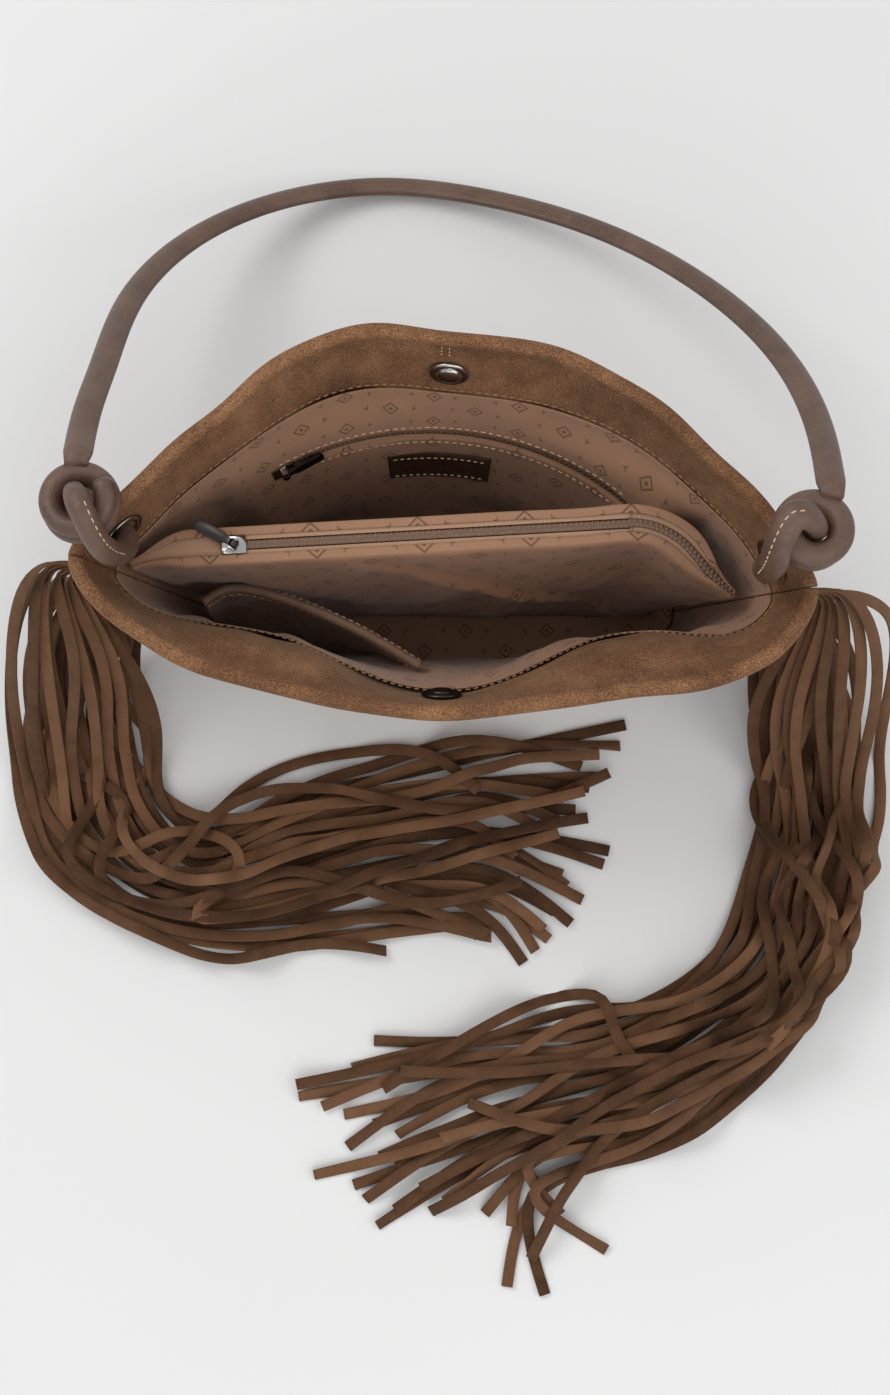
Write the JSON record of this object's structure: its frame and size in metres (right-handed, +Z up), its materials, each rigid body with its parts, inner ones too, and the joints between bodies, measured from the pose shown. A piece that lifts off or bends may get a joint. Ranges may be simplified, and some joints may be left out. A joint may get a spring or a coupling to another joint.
{
  "type": "shoulder bag",
  "caption": "Open-topped suede bag with fringed sides, a knotted leather strap, zipped middle compartment, zipped and slip pockets, magnetic snap.",
  "frame": {"origin": "centre of the flat base's underside, on the table", "axes": "+Z up, +X to the bag's right end, -Y to the bag's front, towards the fringe on the table"},
  "size_m": [0.4347, 0.5783, 0.2309],
  "materials": {
    "suede": "napped suede",
    "fringe_suede": "napped suede",
    "strap_leather": "smooth, satin",
    "lining": "twill with a small pattern",
    "label_leather": "smooth, satin",
    "zip_tape": "woven tape",
    "zip_coil": "satin",
    "gunmetal": "polished dark nickel"
  },
  "bodies": {
    "bag": {"back_pocket_bag": "lining", "back_zip_coil_lower": "zip_coil", "back_zip_coil_upper": "zip_coil", "back_zip_tape_lower": "zip_tape", "back_zip_tape_upper": "zip_tape", "base_panel": "suede", "divider_back": "lining", "divider_front": "lining", "divider_zip_coil_lower": "zip_coil", "divider_zip_coil_upper": "zip_coil", "divider_zip_tape_lower": "zip_tape", "divider_zip_tape_upper": "zip_tape", "eyelet_left": "gunmetal", "eyelet_right": "gunmetal", "eyelet_washer_left": "gunmetal", "eyelet_washer_right": "gunmetal", "facing_back": "suede", "facing_front": "suede", "fringe_left": "fringe_suede", "fringe_right": "fringe_suede", "knot_left": "strap_leather", "knot_right": "strap_leather", "label_patch": "label_leather", "lining_back": "lining", "lining_base": "lining", "lining_front": "lining", "panel_back": "suede", "panel_front": "suede", "slip_pocket": "lining", "slip_pocket_binding": "strap_leather", "snap_back": "gunmetal", "snap_front": "gunmetal"},
    "handle_body": {"handle": "strap_leather"},
    "back_zip_slider": {"back_zip_slider": "gunmetal"},
    "back_zip_pull": {"back_zip_pull": "gunmetal"},
    "divider_zip_slider": {"divider_zip_slider": "gunmetal"},
    "divider_zip_pull": {"divider_zip_pull": "gunmetal"}
  },
  "joints": [
    {"name": "strap_swing", "type": "hinge", "parent": "bag", "child": "handle_body", "pos_m": [0.004, 0.0282, 0.2145], "axis": [0.9992, -0.041, 0], "range_deg": [0, 134]},
    {"name": "back_zip_run", "type": "hinge", "parent": "bag", "child": "back_zip_slider", "pos_m": [-0.0077, -0.0763, 0.118], "axis": [0, 0, -1], "range_deg": [0, 66]},
    {"name": "back_zip_pull_swing", "type": "hinge", "parent": "back_zip_slider", "child": "back_zip_pull", "pos_m": [-0.07493, 0.04593, 0.11935], "axis": [0.1385, -0.2518, -0.9578], "range_deg": [0, 165]},
    {"name": "divider_zip_run", "type": "slide", "parent": "bag", "child": "divider_zip_slider", "axis": [0.9984, 0.0563, 0], "range_m": [0, 0.174]},
    {"name": "divider_zip_pull_swing", "type": "hinge", "parent": "divider_zip_slider", "child": "divider_zip_pull", "pos_m": [-0.09636, 0.00652, 0.1547], "axis": [0.4813, 0.8765, 0], "range_deg": [0, 165]}
  ]
}
